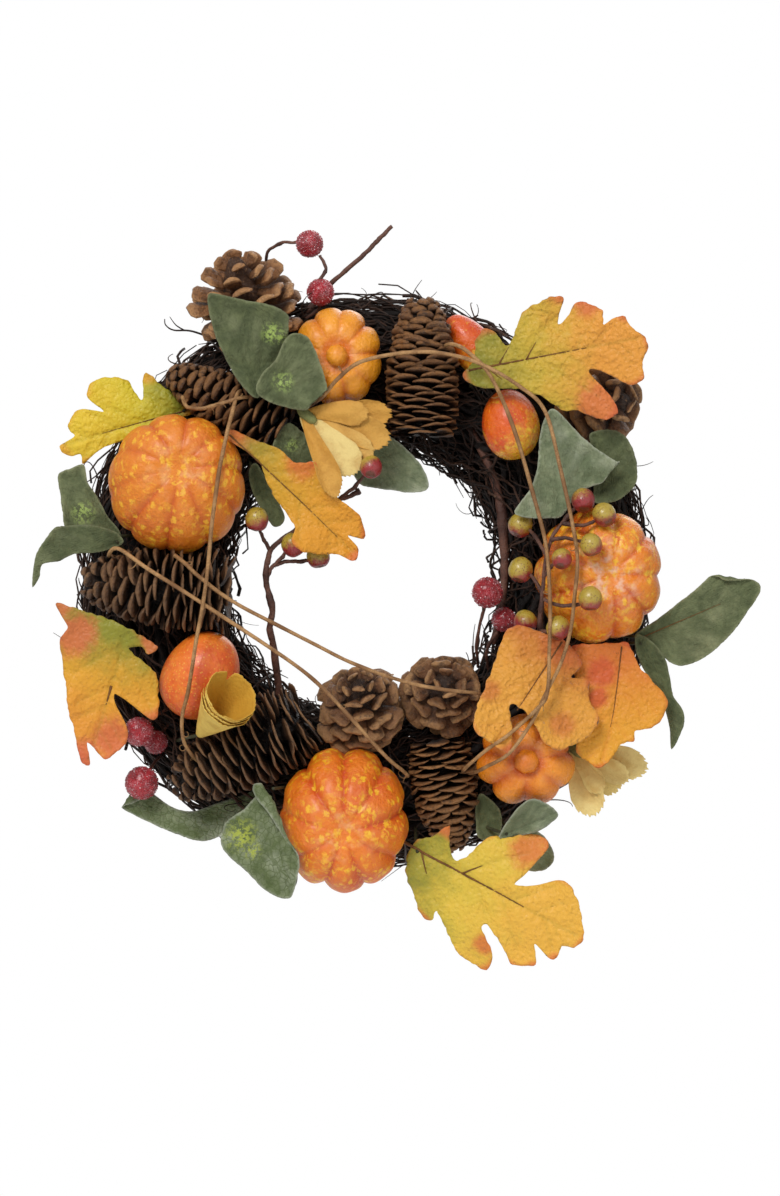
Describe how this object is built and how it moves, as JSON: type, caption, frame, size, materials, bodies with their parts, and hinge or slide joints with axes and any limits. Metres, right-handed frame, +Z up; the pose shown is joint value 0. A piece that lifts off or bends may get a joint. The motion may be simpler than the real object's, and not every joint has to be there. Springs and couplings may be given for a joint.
{
  "type": "door wreath",
  "caption": "Round twig wreath dressed with foam pumpkins, gourds, pine cones, autumn leaves, berries and tendrils, hung from a hinged wire loop at its back.",
  "frame": {"origin": "the point inside the hanger loop that bears on the door hook", "axes": "+Z up, +Y into the door, +X to the right as seen from the front; the wreath lies in the XZ plane and its front faces -Y"},
  "size_m": [0.3498, 0.1043, 0.3605],
  "materials": {
    "hanger_steel": "bare steel wire and strip",
    "brown_wire": "brown coated wire",
    "pick_wire": "bare florist's wire",
    "twigs": "dry dark vine twigs",
    "vine": "smooth reddish-brown vine",
    "tendril": "dried tan tendril",
    "foam_pumpkin": "painted foam, orange with yellow flecks",
    "gloss_pumpkin": "smooth glossy paint",
    "foam_gourd": "red-orange glossy paint that fades to yellow",
    "dark_cone": "dark open pine cone",
    "tan_cone": "light open pine cone",
    "brown_cone": "closed pine cone",
    "autumn_leaf": "embossed fabric leaf, yellow to orange, printed veins",
    "sage_leaf": "matte mottled green fabric leaf",
    "paper_bloom": "folded mustard and cream paper",
    "frosted_berry": "crimson with white sugar beading",
    "speckled_berry": "red that turns to yellow-green, speckled"
  },
  "bodies": {
    "hanger": {"hanger_loop": "hanger_steel"},
    "wreath": {"hanger_strap": "hanger_steel", "hanger_tie": "brown_wire", "wire_frame": "brown_wire", "twig_ring": "twigs", "binding_wire": "brown_wire", "wire_picks": "pick_wire", "vine_cane": "vine", "bare_twig": "vine", "pumpkin_left": "foam_pumpkin", "pumpkin_top": "gloss_pumpkin", "pumpkin_right": "foam_pumpkin", "pumpkin_bottom": "foam_pumpkin", "pumpkin_corner": "gloss_pumpkin", "gourd_top": "foam_gourd", "gourd_right": "foam_gourd", "gourd_left": "foam_pumpkin", "cone_top_left": "tan_cone", "cone_upper_left": "brown_cone", "cone_top": "brown_cone", "cone_left": "dark_cone", "cone_lower_left": "dark_cone", "cone_bottom_left": "tan_cone", "cone_bottom_middle": "tan_cone", "cone_bottom_right": "brown_cone", "cone_top_right": "tan_cone", "oak_leaf_upper_left": "autumn_leaf", "oak_leaf_inner": "autumn_leaf", "oak_leaf_lower_left": "autumn_leaf", "oak_leaf_top_right": "autumn_leaf", "oak_leaf_front_right": "autumn_leaf", "oak_leaf_lower_right": "autumn_leaf", "oak_leaf_bottom": "autumn_leaf", "sage_leaf_top": "sage_leaf", "sage_leaf_top_fold": "sage_leaf", "sage_leaf_left": "sage_leaf", "sage_leaf_left_droop": "sage_leaf", "sage_leaf_inner_top": "sage_leaf", "sage_leaves_inner_left": "sage_leaf", "sage_leaf_right_inner": "sage_leaf", "sage_leaf_right_outer": "sage_leaf", "sage_leaf_far_right": "sage_leaf", "sage_leaf_right_droop": "sage_leaf", "sage_leaf_bottom_left": "sage_leaf", "sage_leaf_bottom_fold": "sage_leaf", "sage_leaf_corner_upper": "sage_leaf", "sage_leaf_corner_lower": "sage_leaf", "sage_leaf_corner_inner": "sage_leaf", "bloom_top": "paper_bloom", "bloom_rolled": "paper_bloom", "bloom_corner": "paper_bloom", "frosted_berries": "frosted_berry", "frosted_berry_stems": "vine", "spray_left_berries": "speckled_berry", "spray_left_stem": "vine", "spray_right_berries": "speckled_berry", "spray_right_stem": "vine", "tendril_left": "tendril", "tendril_cross": "tendril", "tendril_right": "tendril"}
  },
  "joints": [
    {"name": "hanger_pivot", "type": "hinge", "parent": "hanger", "child": "wreath", "pos_m": [0, 0, -0.007], "axis": [-1, 0, 0], "range_deg": [0, 30]}
  ]
}
